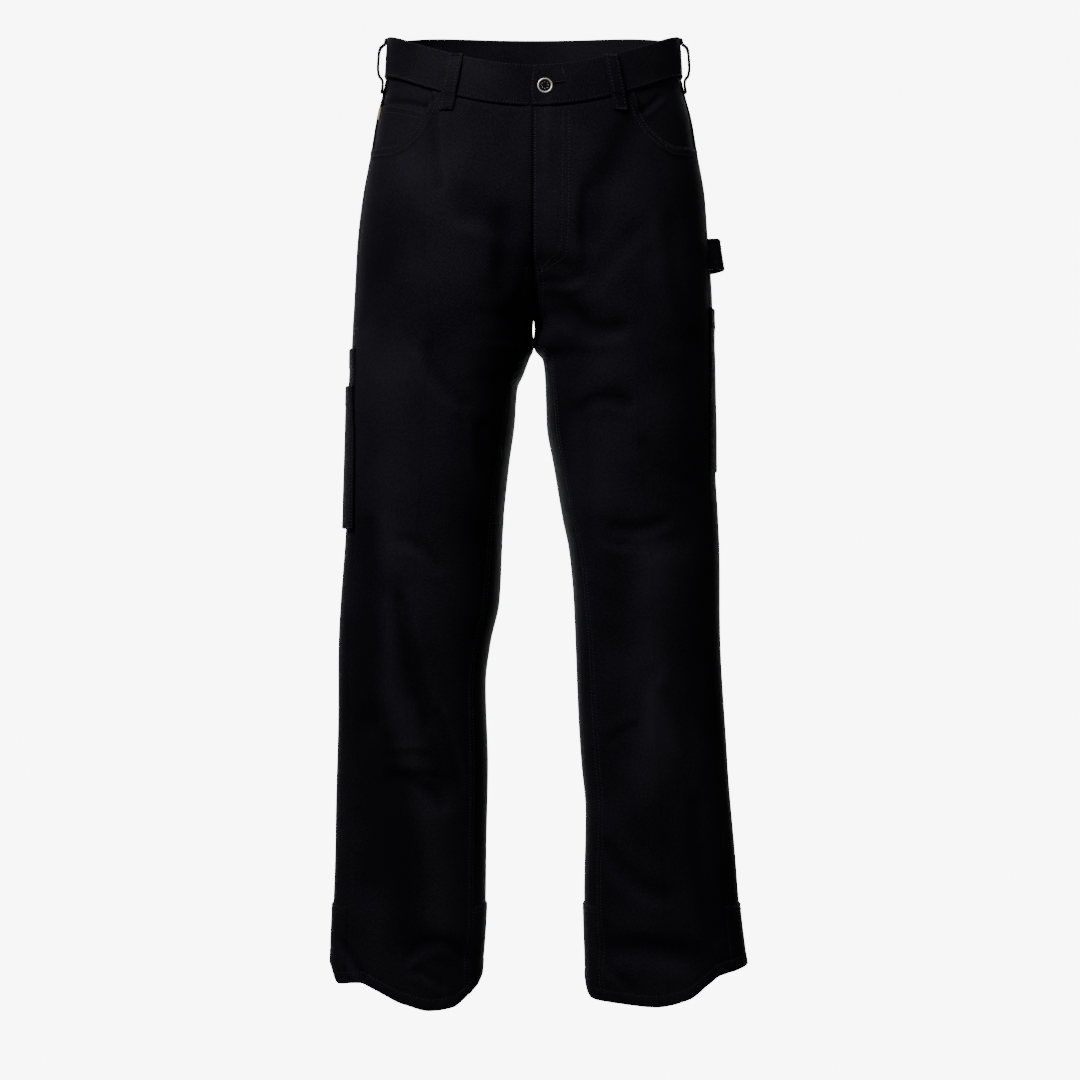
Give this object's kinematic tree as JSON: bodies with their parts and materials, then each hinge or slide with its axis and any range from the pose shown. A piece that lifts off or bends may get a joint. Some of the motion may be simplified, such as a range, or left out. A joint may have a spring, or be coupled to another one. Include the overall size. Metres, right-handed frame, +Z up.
{
  "type": "carpenter pants",
  "caption": "Straight-leg canvas carpenter trousers, hollow as worn, with scoop pockets, tool pockets, belt loops and a hammer loop.",
  "frame": {"origin": "middle of the waist opening, half way down the waistband at the sides, where the wearer's waist holds it", "axes": "+Z up, the front faces -Y, +X is the wearer's left"},
  "size_m": [0.4589, 0.2642, 1.0763],
  "materials": {
    "canvas": "matt black cotton canvas in a twill weave, sewn with black thread",
    "woven_tab": "plain woven tab in brown and gold thread, bare",
    "button_metal": "dark antique nickel, worn bright on its rim"
  },
  "bodies": {
    "root": {"waistband": "canvas", "front_left": "canvas", "front_right": "canvas", "back_left": "canvas", "back_right": "canvas", "crotch_gusset": "canvas", "kick_panel_left": "canvas", "kick_panel_right": "canvas", "scoop_facing_left": "canvas", "scoop_facing_right": "canvas", "coin_pocket": "canvas", "seat_pocket_left": "canvas", "seat_pocket_right": "canvas", "phone_pocket": "canvas", "tool_pocket": "canvas", "tool_pocket_outer": "canvas", "hammer_loop": "canvas", "belt_loop_front_left": "canvas", "belt_loop_front_right": "canvas", "belt_loop_side_left": "canvas", "belt_loop_side_right": "canvas", "belt_loop_back_left": "canvas", "belt_loop_back_right": "canvas", "belt_loop_centre_back": "canvas", "side_tab": "woven_tab", "button": "button_metal"}
  },
  "joints": []
}
